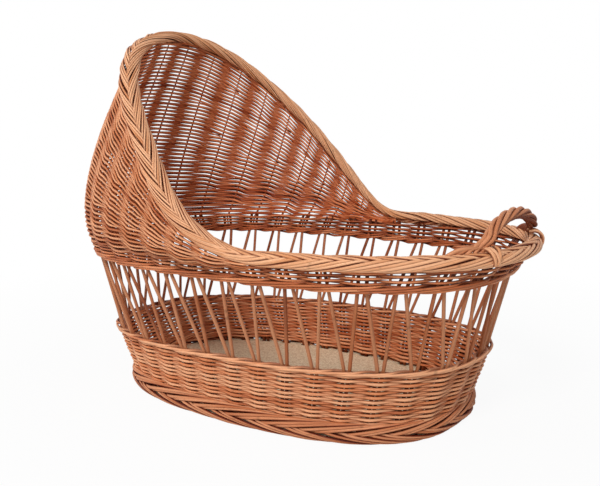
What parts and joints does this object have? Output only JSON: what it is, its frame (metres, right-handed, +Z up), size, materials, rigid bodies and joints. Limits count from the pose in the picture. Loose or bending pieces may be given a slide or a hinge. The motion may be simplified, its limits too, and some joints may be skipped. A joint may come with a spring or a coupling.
{
  "type": "hooded wicker bassinet basket",
  "caption": "Oval wicker bassinet basket with a high woven hood over the head end, an open band of crossing stakes, a plaited hood edge, a roped rim and a small roped foot handle.",
  "frame": {"origin": "centre of the base, on the surface that the basket rests on", "axes": "+X towards the foot end and its handle, -X towards the hood, +Y to the far long side, +Z up"},
  "size_m": [0.8437, 0.5578, 0.6285],
  "materials": {
    "chipboard": "raw pressed board, matt",
    "peeled_willow_border": "smooth peeled buff willow, satin",
    "willow_weave": "buff willow weaving rods, satin",
    "willow_stake": "buff willow stakes, satin"
  },
  "bodies": {
    "root": {"base_board": "chipboard", "foot_border": "willow_weave", "foot_wale_1": "willow_weave", "foot_wale_2": "willow_weave", "lower_weave_outer": "willow_weave", "lower_weave_inner": "willow_weave", "lower_top_wale_outer": "willow_weave", "lower_top_wale_inner": "willow_weave", "upper_bottom_wale_outer": "willow_weave", "upper_bottom_wale_inner": "willow_weave", "upper_weave_outer": "willow_weave", "upper_weave_inner": "willow_weave", "hood_weave_outer": "willow_weave", "hood_weave_inner": "willow_weave", "stakes_near": "willow_stake", "stakes_far": "willow_stake", "stakes_head": "willow_stake", "stakes_foot": "willow_stake", "stakes_hood": "willow_stake", "rim_border_strand_1": "peeled_willow_border", "rim_border_strand_2": "peeled_willow_border", "rim_border_strand_3": "peeled_willow_border", "hood_border_strand_1": "peeled_willow_border", "hood_border_strand_2": "peeled_willow_border", "hood_border_strand_3": "peeled_willow_border", "handle_core": "peeled_willow_border", "handle_wraps": "peeled_willow_border", "handle_lashing_near": "peeled_willow_border", "handle_lashing_far": "peeled_willow_border"}
  },
  "joints": []
}
